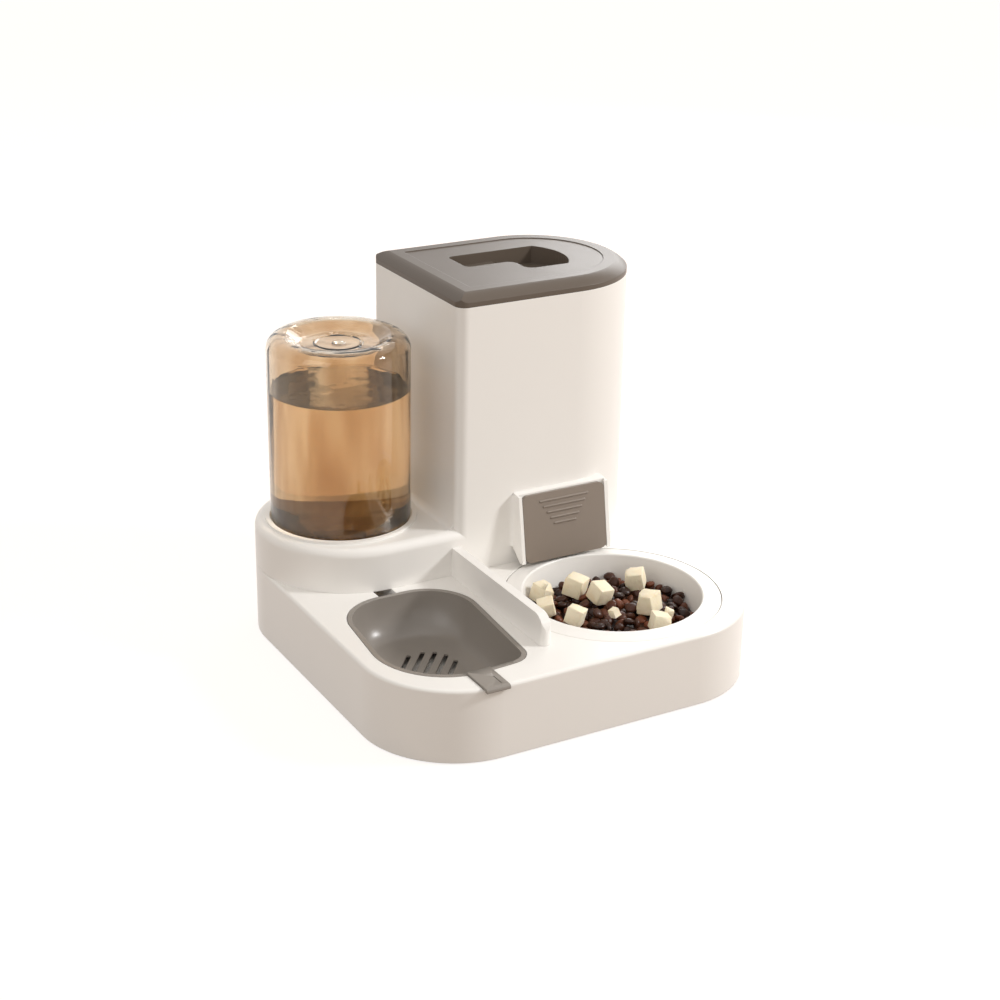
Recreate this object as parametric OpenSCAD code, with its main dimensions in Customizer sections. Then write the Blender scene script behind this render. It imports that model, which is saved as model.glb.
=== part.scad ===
// Gravity feeder for a pet's food and water.
// Millimetres. Origin on the floor, under the middle of the overall box; front towards -Y.

/* [Base] */
// Width of the base, left to right
base_w = 300; // [296:1:320]
// Depth of the base, front to back
base_d = 308; // [304:1:330]
// Height of the deck above the floor
deck_z = 55.5; // [54:0.5:62]
// Radius of the base's corners, seen from above
corner_r = 70; // [62:1:76]
// Wall of the base moulding
base_wall = 2.6; // [2:0.1:3.2]
// Rounding of the deck's outer edge
deck_round = 2.5; // [1:0.1:4]
// Height of the skirt's lower edge above the floor
skirt_gap = 1.2; // [0.8:0.1:1.8]
// Depth of the stiffening ribs under the deck
rib_h = 14; // [8:1:18]
// Thickness of the stiffening ribs
rib_t = 1.8; // [1.2:0.1:2.4]

/* [Food tower] */
// Depth of the tower and the pedestal, front to back
tower_d = 140; // [136:1:146]
// Width of the tower, left to right
tower_w = 171.3; // [166:0.5:174]
// Height of the tower's open top above the floor
tower_top = 260.2; // [230:1:290]
// Distance of the tower's round end from the base's right edge
tower_inset = 3; // [1:0.5:6]
// Radius of the tower's two left corners
tower_corner = 8; // [5:0.5:12]
// Wall of the tower, pedestal and hood
body_wall = 2.5; // [2:0.1:3]

/* [Bottle pedestal] */
// Height of the pedestal's top above the floor
pedestal_top = 89.5; // [88:0.5:96]
// Rounding of the pedestal's top edge
pedestal_round = 7; // [4:0.5:9]
// Height of the raised ring round the bottle
collar_h = 1.8; // [1:0.1:3]
// Width of the raised ring round the bottle
collar_w = 3.6; // [2.5:0.1:4.5]
// Radius of the cove between pedestal and tower
cove_r = 6; // [3:0.5:9]

/* [Divider fin] */
// Length of the fin in front of the tower
fin_l = 132; // [120:1:136]
// Height of the fin above the deck
fin_h = 22; // [16:0.5:26]
// Thickness of the fin at its foot
fin_t = 8.5; // [7:0.5:9.5]
// How far the fin's sides lean in towards the top
fin_draft = 0.75; // [0.4:0.05:1.2]
// Rounding of the fin's top front corner
fin_corner = 12; // [6:1:15]
// Distance of the fin's left side from the tower's left side
fin_shift = 5.2; // [4:0.2:6]

/* [Spout hood and gate] */
// Width of the gate
gate_w = 70.9; // [60:0.1:72]
// Height of the gate along its slope
gate_h = 51.9; // [48:0.1:54]
// Thickness of the gate
gate_t = 3; // [2.6:0.1:3.4]
// Lean of the gate, its foot forward
gate_tilt = 9.15; // [4:0.05:11]
// Radius of the gate's corners
gate_corner = 5; // [3:0.5:7]
// Distance from the tower's face to the top of the gate
hood_depth = 8; // [8:0.2:12]
// Height of the hood's roof above the floor, at the gate
hood_top = 111; // [110:0.1:114]
// Rise of the hood's roof from the gate to the tower
roof_rise = 2.5; // [1:0.1:4]
// Height at which the hood's sides meet the tower, below
hood_under = 69.5; // [67:0.5:72]
// Width of each side rail beside the gate
rail_w = 3; // [2.8:0.1:3.6]
// Play between the gate and its rails, each side
gate_play = 0.35; // [0.3:0.05:0.5]
// Number of grip ribs on the gate
grip_count = 5; // [3:1:6]
// Spacing of the grip ribs
grip_pitch = 4.6; // [4:0.1:5]
// Length of the top grip rib
grip_l = 43; // [34:0.5:46]
// How much shorter each next grip rib is
grip_step = 5.8; // [4:0.1:6.5]
// Radius of a grip rib
grip_r = 1; // [0.7:0.1:1.3]
// Distance of the top grip rib from the gate's top edge
grip_drop = 6.2; // [5:0.1:8]

/* [Food bowl] */
// Radius of the bowl's cavity at its rim
bowl_r = 65.2; // [58:0.2:67]
// Outer radius of the bowl's flange
flange_r = 79.3; // [77:0.1:80]
// Gap round the flange
bowl_gap = 0.5; // [0.3:0.1:0.8]
// Width of deck between the bowl's seat and the base's right edge
bowl_margin = 9.2; // [7:0.2:12]
// Depth of the cavity below the deck
bowl_depth = 38.5; // [30:0.5:40]
// Wall of the bowl
bowl_wall = 2.4; // [2:0.1:2.8]
// Height of the bowl's rim above the deck
rim_rise = 1.7; // [1:0.1:2.5]
// Lean of the bowl's wall from rim to floor
bowl_draft = 5; // [3:0.5:8]
// Radius between the bowl's wall and floor
bowl_fillet = 16; // [10:1:20]

/* [Water tray] */
// Distance of the tray's outline from the base's left edge
tray_left = 13; // [11:0.5:16]
// Distance of the tray's outline from the base's front edge
tray_front = 22.5; // [20:0.5:26]
// Distance of the tray's outline from the pedestal's face
tray_back = 8; // [6:0.5:10]
// Distance of the tray's back part from the base's left edge
tray_back_left = 18; // [16:0.5:21]
// Distance of the tray's back part from the fin
tray_fin = 5.5; // [4.5:0.5:7]
// Distance of the tray's front right corner from the fin
tray_corner_fin = 12; // [10:0.5:14]
// Radius of the tray's two back corners
tray_back_r = 37.5; // [34:0.5:40]
// Radius of the tray's front left corner
tray_side_r = 53; // [48:0.5:56]
// Radius of the tray's front right corner
tray_corner_r = 16.5; // [12:0.5:20]
// Depth of the tray
tray_depth = 31; // [24:0.5:33]
// Wall of the tray
tray_wall = 1.6; // [1.4:0.1:2]
// Width of the tray's lip
tray_lip = 3.4; // [2.8:0.1:4]
// Gap round the tray's lip
tray_gap = 0.5; // [0.3:0.1:0.8]
// Share of its outline that the tray's floor keeps
tray_floor = 0.5; // [0.4:0.02:0.6]
// Number of slots in the tray's floor
slot_count = 5; // [3:2:7]
// Spacing of the slots
slot_pitch = 8.6; // [6.5:0.1:9]
// Width of a slot
slot_w = 3.4; // [2:0.1:4]
// Radius of the round group of slots
slot_field_r = 20.5; // [18:0.5:22]
// Direction of the slots in plan
slot_turn = 50; // [0:1:60]
// Width of the finger tab
tab_w = 18; // [14:0.5:22]
// Thickness of the finger tab
tab_t = 2; // [1.6:0.1:2.4]
// How far the tab stands out over the base's front
tab_overhang = 3; // [2.5:0.1:4]
// Depth of the tab's turned-down end
tab_drop = 3; // [2.5:0.5:5]

/* [Water bottle] */
// Distance of the bottle's axis from the base's left edge
bottle_inset = 64; // [62:0.5:65]
// Radius of the bottle
bottle_r = 52.5; // [48:0.5:54]
// Height of the bottle's closed end above the floor
bottle_top = 231; // [200:1:250]
// Wall of the bottle
bottle_wall = 1.8; // [1.4:0.1:2.4]
// Rounding of the bottle's closed end
bottle_round = 10; // [6:0.5:12]
// Radius of the ring that the punt starts from
punt_r = 38; // [34:0.5:41]
// Depth of the punt
punt_depth = 6.5; // [4:0.5:9]
// Length of the shoulder
shoulder_h = 20; // [17:0.5:22]
// Outer radius of the neck
neck_r = 19; // [17:0.5:21]
// Length of the neck
neck_l = 20; // [18:0.5:22]
// Height of the water in the bottle above the floor
water_top = 190; // [120:1:195]

/* [Cap and valve] */
// Radius of the cap
cap_r = 23.5; // [23:0.1:25]
// Length of the cap
cap_l = 23; // [21:0.5:25]
// Thickness of the cap's end plate
cap_end = 2.4; // [2:0.1:3]
// Number of grip ribs on the cap
cap_ribs = 24; // [12:2:36]
// Bore of the valve tube
tube_r = 5; // [4.5:0.1:5.6]
// Length of the valve tube above the cap's end plate
tube_l = 9; // [7:0.5:10]
// Radius of the plunger's stem
stem_r = 2; // [1.6:0.1:2.4]
// Lift of the valve's washer above the tube while the bottle is in place
valve_open = 4; // [3:0.5:5]
// Radius of the valve's washer
washer_r = 7.2; // [6.8:0.1:8]
// Radius of the spring's wire
wire_r = 0.4; // [0.3:0.05:0.5]
// Number of turns of the spring
spring_turns = 4; // [3:1:5]

/* [Lid] */
// Height of the lid's upright band
band_h = 3.6; // [2.5:0.1:5]
// Height of the lid's crown above the band
crown_h = 5.7; // [4:0.1:8]
// Width of the crown's sloping edge
crown_round = 9.3; // [6:0.1:12]
// How far the crown's slope bulges out
crown_bulge = 0.6; // [0.2:0.05:0.9]
// Wall of the lid
lid_wall = 2.4; // [2:0.1:2.8]
// Distance of the top panel from the lid's edge
panel_inset = 18; // [15:0.5:20]
// Depth of the top panel's step
panel_step = 0.6; // [0.4:0.1:0.9]
// Width of the hand recess
recess_w = 83.5; // [74:0.5:88]
// Depth of the wide part of the recess, front to back
recess_d = 54; // [48:0.5:58]
// Depth of the narrow part of the recess, front to back
recess_slot_d = 31; // [26:0.5:34]
// Width of the narrow part of the recess
recess_slot_w = 39; // [32:0.5:42]
// Depth of the wide part below the lid's top
recess_deep = 14; // [11:0.5:15]
// Depth of the narrow part below the lid's top
recess_shallow = 9; // [7:0.5:10]
// Radius of the recess's corners
recess_corner = 7; // [4:0.5:9]
// Depth of the plug below the tower's rim
plug_depth = 14; // [12:0.5:20]
// Gap between the plug and the tower's wall
plug_gap = 1.2; // [1:0.1:1.6]
// Wall of the plug
plug_wall = 2; // [1.6:0.1:2.4]
// Height of the soft ring in the plug's groove
seal_h = 4; // [3:0.1:5]

/* [Feet and screws] */
// Radius of a rubber foot
foot_r = 9.6; // [8.5:0.1:10]
// Thickness of a rubber foot's pad
foot_t = 2.2; // [2:0.1:3]
// Distance of the feet from the base's middle, left to right
foot_x = 116; // [114:0.5:118]
// Distance of the front feet from the base's front edge
foot_front = 28; // [26:0.5:30]
// Distance of the back feet from the base's back edge
foot_back = 40; // [34:1:46]
// Radius of a screw's shank
screw_r = 1.6; // [1.4:0.1:2]
// Length of a screw's shank
screw_l = 16; // [12:1:18]

/* [Contents] */
// Height of the food's edge above the bowl's floor
heap_edge = 27; // [16:0.5:28]
// Rise of the heap's middle above its edge
heap_rise = 6; // [3:0.5:8]
// Side of the largest treat cube
treat_side = 18; // [14:0.5:20]

/* [Hidden] */
$fn = 96;
// Running clearance between pieces that move or seat on each other
play = 0.3;
// Overlap that joins two solids of one moulding
fuse = 0.6;

// Plan sizes above are those of this base; on another base they keep their share of it
plan_w = 300;
plan_d = 308;
across = base_w / plan_w;
along = base_d / plan_d;
both = min(across, along);
now_tower_w = tower_w * across;
now_gate_w = gate_w * across;
now_grip_l = grip_l * across;
now_grip_step = grip_step * across;
now_bowl_margin = bowl_margin * across;
now_tray_left = tray_left * across;
now_tray_back_left = tray_back_left * across;
now_tray_fin = tray_fin * across;
now_tray_corner_fin = tray_corner_fin * across;
now_bottle_inset = bottle_inset * across;
now_recess_w = recess_w * across;
now_recess_slot_w = recess_slot_w * across;
now_foot_x = foot_x * across;
now_tower_d = tower_d * along;
now_fin_l = fin_l * along;
now_tray_front = tray_front * along;
now_tray_back = tray_back * along;
now_recess_d = recess_d * along;
now_recess_slot_d = recess_slot_d * along;
now_foot_front = foot_front * along;
now_foot_back = foot_back * along;
now_corner_r = corner_r * both;
now_bowl_r = bowl_r * both;
now_flange_r = flange_r * both;
now_tray_back_r = tray_back_r * both;
now_tray_side_r = tray_side_r * both;
now_tray_corner_r = tray_corner_r * both;
now_slot_field_r = slot_field_r * both;
now_slot_pitch = slot_pitch * both;
now_bottle_r = bottle_r * both;
now_punt_r = punt_r * both;
now_treat_side = treat_side * both;

left_x = -base_w / 2;
right_x = base_w / 2;
back_y = (base_d + tab_overhang) / 2;
front_y = back_y - base_d;
arc_r = now_tower_d / 2;
arc_y = back_y - arc_r;
face_y = back_y - now_tower_d;

tower_right = right_x - tower_inset;
tower_left = tower_right - now_tower_w;
tower_cx = tower_right - arc_r;
pedestal_cx = left_x + arc_r;

bottle_x = left_x + now_bottle_inset;
bottle_y = arc_y;
collar_r = now_bottle_r + play + 0.4;
collar_top = pedestal_top + collar_h;

fin_left = tower_left - fin_shift;
fin_front = face_y - now_fin_l;

hood_half = now_gate_w / 2 + gate_play + rail_w;
mouth_half = now_gate_w / 2 - 6;
mouth_low = hood_under + 1.4 * body_wall;
mouth_high = hood_top - 8;
hood_foot_y = face_y - hood_depth - gate_h * sin(gate_tilt);
hood_foot_z = hood_top - gate_h * cos(gate_tilt);
hood_cove = 3;
// How far the hood's profile reaches into the tower's wall, for the round end
hood_reach = 6;
// Floor of the hood: where its underside starts, and its upper face there
chute_y = hood_foot_y + 4;
chute_z = hood_foot_z + 1.25 * body_wall;
ramp_t = 3;
// Slopes of the ramp: down to the front, and in from both sides
back_slope = 35;
side_slope = 40;
ramp_web_x = 18;
tongue_w = 1.4;
tongue_t = 1.4;
tongue_end = 7;

seat_r = now_flange_r + bowl_gap;
bowl_x = right_x - now_bowl_margin - seat_r;
bowl_y = face_y - 0.5 - seat_r;
gate_x = bowl_x;
bowl_floor = deck_z - bowl_depth;
flange_t = 2.4;
bowl_hole_r = now_bowl_r + bowl_wall + 2.4;

lip_t = 1.8;
tray_a = [
    left_x + now_tray_back_left + now_tray_back_r,
    face_y - now_tray_back - now_tray_back_r,
    now_tray_back_r
];
tray_b = [fin_left - now_tray_fin - now_tray_back_r, tray_a.y, now_tray_back_r];
tray_c = [
    left_x + now_tray_left + now_tray_side_r,
    front_y + now_tray_front + now_tray_side_r,
    now_tray_side_r
];
tray_d = [
    fin_left - now_tray_corner_fin - now_tray_corner_r,
    front_y + now_tray_front + 2 + now_tray_corner_r,
    now_tray_corner_r
];
tray_steps = 7;
slot_mid = [(tray_a.x + tray_b.x) / 2 + 1.5, tray_a.y - 20.5];
tab_x = tray_c.x - 1;
basin_inset = 1.4;
basin_floor = deck_z - tray_depth - tray_wall - 6;
channel_w = 14;
channel_x = bottle_x;
channel_floor = deck_z - 17.5;

bottle_shoulder_z = collar_top - 5;
neck_top_z = bottle_shoulder_z - shoulder_h;
mouth_z = neck_top_z - neck_l;
gasket_t = 1.2;
cap_z = mouth_z - gasket_t - cap_end;
well_r = cap_r + 10;
well_floor = 16;
post_top = cap_z - 10;
plunger_z = post_top + play;
washer_z = cap_z + cap_end + tube_l + valve_open;
seat_ring_r = neck_r + 0.657 * (now_bottle_r - neck_r);
punt_ring_r = now_punt_r * 0.45;
shoulder_foot = [now_bottle_r - 6 + 6 * cos(50), bottle_shoulder_z - 6 * sin(50)];

lid_z = tower_top;
crown_z = lid_z + band_h;
lid_top = crown_z + crown_h;
plug_z = tower_top - plug_depth;
recess_y = arc_y;
recess_left = tower_left + now_tower_w / 2 - 2.6 - now_recess_w / 2;
recess_right = recess_left + now_recess_w;
recess_neck = recess_left + now_recess_slot_w;
recess_disc_r = recess_right - recess_neck - 3;
recess_cx = recess_right - recess_disc_r;
recess_turn = asin(now_recess_d / 2 / recess_disc_r);
recess_front = recess_y - now_recess_d / 2;
recess_back = recess_y + now_recess_d / 2;
recess_slot_front = recess_back - now_recess_slot_d;

foot_y_front = front_y + now_foot_front;
foot_y_back = back_y - now_foot_back;
foot_bore = basin_floor - base_wall - 1.5;
foot_places = [
    [-now_foot_x, foot_y_front, foot_bore],
    [now_foot_x, foot_y_front, deck_z - base_wall - 2],
    [-now_foot_x, foot_y_back, foot_bore],
    [now_foot_x, foot_y_back, deck_z - base_wall - 2]
];
tube_outer = foot_r + 0.4;
tube_bore = 7.4;
stem_play = 0.2;

boss_r = 5;
boss_h = 18;
boss_turn = 68;
boss_out = 0.815;
screw_places = [
    [tower_left - 12, face_y + 13],
    [tower_left - 12, back_y - 13],
    [tower_cx + arc_r * boss_out * cos(boss_turn), arc_y - arc_r * boss_out * sin(boss_turn)],
    [tower_cx + arc_r * boss_out * cos(boss_turn), arc_y + arc_r * boss_out * sin(boss_turn)]
];
head_r = 4;
head_h = 2.4;

heap_share = (heap_edge - bowl_fillet) / (bowl_depth - bowl_fillet);
heap_r = now_bowl_r - bowl_draft + bowl_draft * heap_share - 0.5;
// Treats on the heap: place from the bowl's middle, share of the largest side, turn, tilt
treats = [
    [-37.6, 36.5, 0.78, 20, 12],
    [-48.8, 12.1, 0.72, 65, -14],
    [-13, 29.6, 0.86, 35, 10],
    [-4.7, 8.9, 0.81, 10, 18],
    [33.8, 21.2, 0.81, 50, -12],
    [18.5, -19.7, 0.86, 25, -10],
    [-38, -10.8, 0.75, 40, 15],
    [-11.1, -20.4, 0.4, 15, -20],
    [10.7, -46.6, 0.78, 70, 12],
    [26.1, -35.4, 0.4, 60, 16]
];

white = [0.93, 0.92, 0.9];
taupe = [0.55, 0.5, 0.45];
dark_grey = [0.45, 0.42, 0.39];
soft_clear = [0.85, 0.86, 0.86];
metal = [0.72, 0.72, 0.74];
rubber_grey = [0.3, 0.3, 0.3];

// Points of a circular arc in a profile
function arc_points(x, z, r, from, to, count = 8) = [
    for (i = [0:count])
        let (a = from + (to - from) * i / count)
            [x + r * cos(a), z + r * sin(a)]
];

// Rounded upper corner of a profile whose side stands at x = a
function top_edge(a, h, r) = arc_points(a - r, h - r, r, 0, 90, 8);

// Profile of a slab from x = a to x = b with both upper edges rounded
function slab_profile(a, b, h, r) = concat(
    [[a, 0], [b, 0]],
    top_edge(b, h, r),
    arc_points(a + r, h - r, r, 90, 180, 8)
);

// Direction in which a belt round circles a and b leaves them, on the belt's right-hand side
function belt_side(a, b) =
    atan2(b.y - a.y, b.x - a.x) - acos((a[2] - b[2]) / norm([b.x - a.x, b.y - a.y]));

function grown(c, g) = [c.x, c.y, c[2] + g];

// Outline of the water tray: a belt round four circles, drawn out by g
function tray_outline(g) =
    let (ring = [grown(tray_c, g), grown(tray_d, g), grown(tray_b, g), grown(tray_a, g)])
        [
            for (i = [0:3])
                let (
                    from = belt_side(ring[(i + 3) % 4], ring[i]),
                    turn = (belt_side(ring[i], ring[(i + 1) % 4]) - from + 720) % 360
                )
                    each arc_points(ring[i].x, ring[i].y, ring[i][2], from, from + turn, ceil(turn / 6))
        ];

// Concave corner between two walls
module cove_profile(r) {
    polygon(concat([[0, 0]], arc_points(r, r, r, 270, 180, 6)));
}

// Plan of the base: a rectangle with four round corners, drawn in by g
module base_plan(g = 0) {
    r = now_corner_r - g;
    for (x = [left_x + now_corner_r, right_x - now_corner_r])
        for (y = [front_y + now_corner_r, back_y - now_corner_r])
            translate([x, y]) circle(r);
    translate([left_x + now_corner_r, front_y + g])
        square([base_w - 2 * now_corner_r, base_d - 2 * g]);
    translate([left_x + g, front_y + now_corner_r])
        square([base_w - 2 * g, base_d - 2 * now_corner_r]);
}

// Plan of the tower: straight left side, round right end
module tower_plan(g = 0) {
    r = max(tower_corner - g, 0);
    edge = max(tower_corner, g);
    translate([tower_cx, arc_y]) circle(arc_r - g);
    translate([tower_left + edge, face_y + g])
        square([tower_cx - tower_left - edge, now_tower_d - 2 * g]);
    if (r > 0) {
        translate([tower_left + g, face_y + tower_corner])
            square([tower_corner, now_tower_d - 2 * tower_corner]);
        for (y = [face_y + tower_corner, back_y - tower_corner])
            translate([tower_left + tower_corner, y]) circle(r);
    }
}

module tray_plan(g = 0) {
    polygon(tray_outline(g));
}

// Slab of the base's plan with a rounded upper edge
module base_body() {
    h = deck_z - skirt_gap;
    c = now_corner_r;
    places = [
        [right_x - c, back_y - c],
        [left_x + c, back_y - c],
        [left_x + c, front_y + c],
        [right_x - c, front_y + c]
    ];
    translate([0, 0, skirt_gap]) {
        for (i = [0:3])
            translate([places[i].x, places[i].y, 0]) rotate(90 * i)
                rotate_extrude(angle = 90)
                    polygon(concat([[0, 0], [c, 0]], top_edge(c, h, deck_round), [[0, h]]));
        translate([left_x + c, 0, 0]) rotate([90, 0, 90]) linear_extrude(base_w - 2 * c)
            polygon(slab_profile(front_y, back_y, h, deck_round));
        translate([0, back_y - c, 0]) rotate([90, 0, 0]) linear_extrude(base_d - 2 * c)
            polygon(slab_profile(left_x, right_x, h, deck_round));
    }
}

// Stiffening ribs under the back half of the deck
module deck_ribs() {
    z = deck_z - base_wall - rib_h;
    intersection() {
        union() {
            for (x = [tower_left, gate_x, tower_cx + arc_r / 2])
                translate([x - rib_t / 2, face_y + 4, z]) cube([rib_t, now_tower_d, rib_h + fuse]);
            for (y = [face_y + 4, arc_y + arc_r * 0.55])
                translate([left_x, y - rib_t / 2, z]) cube([base_w, rib_t, rib_h + fuse]);
        }
        linear_extrude(deck_z) base_plan(1);
    }
}

module base_shell() {
    color(white) {
        difference() {
            union() {
                difference() {
                    base_body();
                    linear_extrude(deck_z - base_wall) base_plan(base_wall);
                }
                translate([0, 0, basin_floor - base_wall])
                    linear_extrude(deck_z - 1 - basin_floor + base_wall)
                        tray_plan(base_wall - basin_inset);
                translate([bottle_x, bottle_y, well_floor - base_wall])
                    cylinder(r = well_r + base_wall, h = deck_z - well_floor);
                translate([
                    channel_x - channel_w / 2 - base_wall,
                    face_y - now_tray_back - 6,
                    channel_floor - base_wall
                ])
                    cube([channel_w + 2 * base_wall, bottle_y - face_y, deck_z - channel_floor]);
                translate([bowl_x, bowl_y, deck_z - 15])
                    cylinder(r = bowl_hole_r + base_wall, h = 13);
                translate([bowl_x, bowl_y, deck_z - flange_t - play - base_wall])
                    cylinder(r = seat_r + 1.6, h = flange_t + base_wall - 1);
                for (p = foot_places)
                    translate([p.x, p.y, foot_t]) cylinder(r = tube_outer, h = deck_z - foot_t - 1);
                deck_ribs();
            }
            // Seat and hole for the food bowl
            translate([bowl_x, bowl_y, deck_z - flange_t - play]) cylinder(r = seat_r, h = 10);
            translate([bowl_x, bowl_y, 0]) cylinder(r = bowl_hole_r, h = deck_z);
            // Basin, ledge and notch for the water tray
            translate([0, 0, basin_floor]) linear_extrude(deck_z) tray_plan(-basin_inset);
            translate([0, 0, deck_z - lip_t - play]) linear_extrude(10) tray_plan(tray_gap);
            translate([tab_x - tab_w / 2 - tray_gap, front_y - 5, deck_z - 1])
                cube([tab_w + 2 * tray_gap, now_tray_front + 12, 10]);
            // Round well under the bottle and the channel to the tray
            translate([bottle_x, bottle_y, well_floor]) cylinder(r = well_r, h = deck_z);
            translate([channel_x - channel_w / 2, face_y - now_tray_back - 8, channel_floor])
                cube([channel_w, bottle_y - face_y + now_tray_back, deck_z]);
            // Bores for the feet and the screws
            for (p = foot_places)
                translate([p.x, p.y, 0]) cylinder(r = tube_bore, h = p[2]);
            for (p = screw_places)
                translate([p.x, p.y, deck_z - base_wall - 1]) cylinder(r = screw_r + 0.5, h = 10);
        }
        valve_post();
    }
}

// Cross-shaped post that holds the bottle's valve open
module valve_post() {
    translate([bottle_x, bottle_y, well_floor - fuse]) {
        cylinder(r = 3, h = post_top - well_floor + fuse);
        for (a = [0, 90])
            rotate(a) translate([-7, -0.9, 0]) cube([14, 1.8, (post_top - well_floor) * 0.6]);
    }
}

// Pedestal block with a rounded top edge, drawn in by g
module pedestal_block(g = 0) {
    r = arc_r - g;
    f = pedestal_round - g;
    h = pedestal_top - g - deck_z;
    run = tower_left - pedestal_cx + (g > 0 ? 0 : tower_corner + 1);
    translate([pedestal_cx, arc_y, deck_z]) {
        rotate([0, 0, 90]) rotate_extrude(angle = 180)
            polygon(concat([[0, 0], [r, 0]], top_edge(r, h, f), [[0, h]]));
        rotate([90, 0, 90]) linear_extrude(run) polygon(slab_profile(-r, r, h, f));
    }
}

// Frame of the gate: its outer face on y = 0, its top edge on z = 0, leaning with its foot forward
module in_gate_frame() {
    translate([gate_x, face_y - hood_depth, hood_top])
        rotate([-gate_tilt, 0, 0]) children();
}

// Side view of the hood, as y and z
module hood_side() {
    polygon([
        [face_y + hood_reach, hood_top + roof_rise],
        [face_y - hood_depth, hood_top],
        [hood_foot_y, hood_foot_z],
        [chute_y, hood_foot_z],
        [face_y, hood_under],
        [face_y + hood_reach, hood_under]
    ]);
}

// Side view of the room in the hood, above the floor that leads to the gate
module hood_room() {
    rise = (hood_under - hood_foot_z) / (face_y - chute_y);
    low = chute_z - rise * gate_h;
    polygon([
        [face_y + hood_reach + 1, hood_top - body_wall],
        [chute_y - gate_h, hood_top - body_wall],
        [chute_y - gate_h, low],
        [face_y, chute_z + hood_under - hood_foot_z],
        [face_y + hood_reach + 1, chute_z + hood_under - hood_foot_z]
    ]);
}

module along_x(from, to) {
    translate([from, 0, 0]) rotate([90, 0, 90]) linear_extrude(to - from) children();
}

module hood() {
    difference() {
        union() {
            along_x(gate_x - hood_half, gate_x + hood_half) hood_side();
            translate([gate_x - hood_half, face_y, hood_under])
                linear_extrude(hood_top - hood_under)
                    mirror([1, 0]) mirror([0, 1]) cove_profile(hood_cove);
        }
        // Room inside, open at the front where the gate stands
        along_x(gate_x - hood_half + rail_w, gate_x + hood_half - rail_w) hood_room();
        in_gate_frame()
            translate([-now_gate_w / 2 - gate_play, -10, -gate_h - 10])
                cube([now_gate_w + 2 * gate_play, 10 + gate_t + gate_play, gate_h + 30]);
        // Grooves for the gate's tongues
        in_gate_frame()
            translate([
                -now_gate_w / 2 - tongue_w - gate_play,
                gate_t - tongue_t - gate_play,
                -gate_h + tongue_end - gate_play
            ])
                cube([now_gate_w + 2 * (tongue_w + gate_play), tongue_t + 2 * gate_play, gate_h + 30]);
    }
}

module fin() {
    corner = arc_points(fin_front + fin_corner, fin_h - fin_corner, fin_corner, 90, 180);
    difference() {
        intersection() {
            along_x(fin_left, fin_left + fin_t)
                translate([0, deck_z])
                    polygon(concat([[face_y + 1, 0], [face_y + 1, fin_h]], corner, [[fin_front, 0]]));
            linear_extrude(deck_z + fin_h + 1) {
                translate([fin_left + fin_t / 2, fin_front + fin_t / 2]) circle(fin_t / 2);
                translate([fin_left, fin_front + fin_t / 2]) square([fin_t, now_fin_l]);
            }
        }
        for (s = [0, 1])
            translate([fin_left + s * fin_t, fin_front - 1, deck_z])
                rotate([0, (s == 0 ? 1 : -1) * atan(fin_draft / fin_h), 0])
                    translate([s == 0 ? -10 : 0, 0, 0]) cube([10, now_fin_l + 4, fin_h + 4]);
    }
}

module upper_body() {
    color(white) {
        difference() {
            union() {
                translate([0, 0, deck_z]) linear_extrude(tower_top - deck_z) tower_plan();
                pedestal_block();
                translate([bottle_x, bottle_y, pedestal_top - fuse])
                    cylinder(r = collar_r + collar_w, h = collar_h + fuse);
                translate([tower_left, back_y - pedestal_round, pedestal_top])
                    rotate([90, 0, 0]) linear_extrude(now_tower_d - 2 * pedestal_round)
                        mirror([1, 0]) cove_profile(cove_r);
                hood();
                fin();
            }
            translate([0, 0, deck_z - 1])
                linear_extrude(tower_top) tower_plan(body_wall);
            difference() {
                pedestal_block(body_wall);
                translate([bottle_x, bottle_y, 0])
                    cylinder(r = collar_r + body_wall, h = pedestal_top);
            }
            translate([bottle_x, bottle_y, deck_z - 1]) cylinder(r = collar_r, h = 100);
            translate([gate_x - mouth_half, face_y - 5, mouth_low])
                cube([2 * mouth_half, 12, mouth_high - mouth_low]);
        }
        bottle_seat();
        difference() {
            for (p = screw_places)
                translate([p.x, p.y, deck_z]) cylinder(r = boss_r, h = boss_h);
            for (p = screw_places)
                translate([p.x, p.y, deck_z - 1]) cylinder(r = screw_r + 0.1, h = boss_h - 1);
        }
        boss_webs();
    }
}

// Ledge inside the pedestal that carries the bottle's shoulder
module bottle_seat() {
    foot = shoulder_foot;
    rise = (foot.y - neck_top_z) / (foot.x - neck_r);
    z = neck_top_z + (seat_ring_r - neck_r) * rise - play;
    translate([bottle_x, bottle_y, 0])
        rotate_extrude()
            polygon([
                [collar_r + fuse, z - 5],
                [seat_ring_r, z - 3],
                [seat_ring_r, z],
                [foot.x, foot.y - play],
                [collar_r + fuse, foot.y - play]
            ]);
}

// Webs that tie the screw bosses to the nearest wall
module boss_webs() {
    for (p = [screw_places[0], screw_places[1]])
        translate([p.x + boss_r - 1, p.y - 0.9, deck_z])
            cube([tower_left - p.x - boss_r + 1 + fuse, 1.8, boss_h]);
    for (s = [-1, 1])
        translate([tower_cx, arc_y, deck_z]) rotate(s * boss_turn)
            translate([arc_r * boss_out + boss_r - 1, -0.9, 0])
                cube([arc_r * (1 - boss_out) - boss_r - body_wall + 1 + fuse, 1.8, boss_h]);
}

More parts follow.
